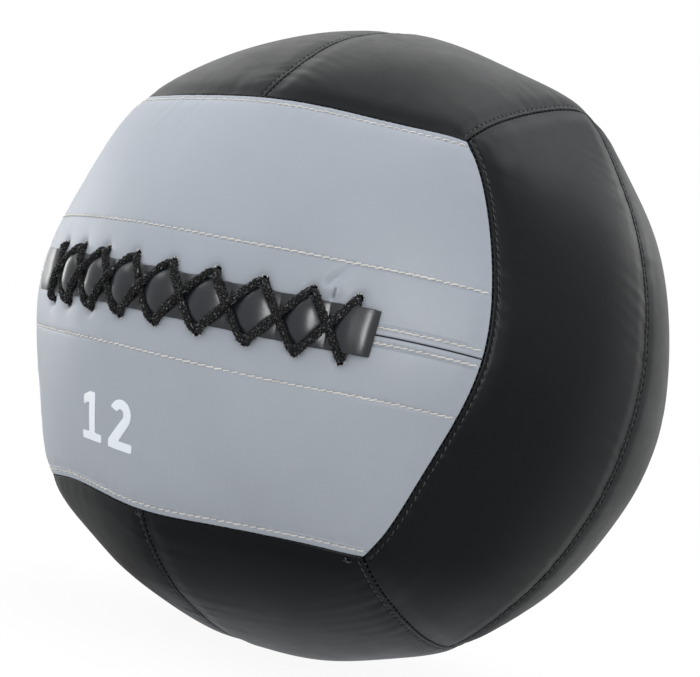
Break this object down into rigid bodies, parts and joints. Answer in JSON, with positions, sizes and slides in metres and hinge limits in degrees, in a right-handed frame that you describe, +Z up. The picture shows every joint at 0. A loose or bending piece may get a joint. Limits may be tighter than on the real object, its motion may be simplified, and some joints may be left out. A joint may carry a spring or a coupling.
{
  "type": "wall ball",
  "caption": "Soft heavy exercise ball of sewn vinyl panels with a laced closure, for throwing at a wall target and catching.",
  "frame": {"origin": "on the surface that the ball stands on, under the middle of the ball with its lacing", "axes": "+Z up, -Y towards the laced front face, +X to the right seen from the front"},
  "size_m": [0.3494, 0.3591, 0.3477],
  "materials": {
    "grey_vinyl": "fine-grained vinyl, satin",
    "black_vinyl": "fine-grained vinyl, satin",
    "tongue_vinyl": "smooth vinyl, glossy",
    "lace_cord": "braided cord",
    "white_thread": "sewing thread",
    "black_thread": "sewing thread",
    "facing_canvas": "woven canvas",
    "lining_cloth": "woven cloth",
    "fibre": "matted textile fibre",
    "ballast_canvas": "woven canvas",
    "ballast_shot": "loose shot and grit",
    "tie_cord": "twisted cord"
  },
  "bodies": {
    "root": {"ballast": "ballast_shot", "ballast_bag": "ballast_canvas", "ballast_tie": "tie_cord", "bottom_left_edge_thread": "black_thread", "bottom_panel_left": "black_vinyl", "bottom_panel_right": "black_vinyl", "bottom_right_edge_thread": "black_thread", "bottom_split_thread": "black_thread", "closure_thread_lower": "white_thread", "closure_thread_upper": "white_thread", "facing_lower": "facing_canvas", "facing_thread_lower": "white_thread", "facing_thread_upper": "white_thread", "facing_upper": "facing_canvas", "front_lower_edge_thread": "white_thread", "front_panel_lower": "grey_vinyl", "front_panel_upper": "grey_vinyl", "front_upper_edge_thread": "white_thread", "lace": "lace_cord", "left_front_edge_thread": "black_thread", "left_panel_front": "black_vinyl", "left_panel_rear": "black_vinyl", "left_rear_edge_thread": "black_thread", "left_split_thread": "black_thread", "lining_bag": "lining_cloth", "rear_lower_edge_thread": "black_thread", "rear_panel_lower": "black_vinyl", "rear_panel_upper": "black_vinyl", "rear_split_thread": "black_thread", "rear_upper_edge_thread": "black_thread", "right_front_edge_thread": "black_thread", "right_panel_front": "black_vinyl", "right_panel_rear": "black_vinyl", "right_rear_edge_thread": "black_thread", "right_split_thread": "black_thread", "stuffing_front": "fibre", "stuffing_rear": "fibre", "tongue_strip": "tongue_vinyl", "top_left_edge_thread": "black_thread", "top_panel_left": "black_vinyl", "top_panel_right": "black_vinyl", "top_right_edge_thread": "black_thread", "top_split_thread": "black_thread"}
  },
  "joints": []
}
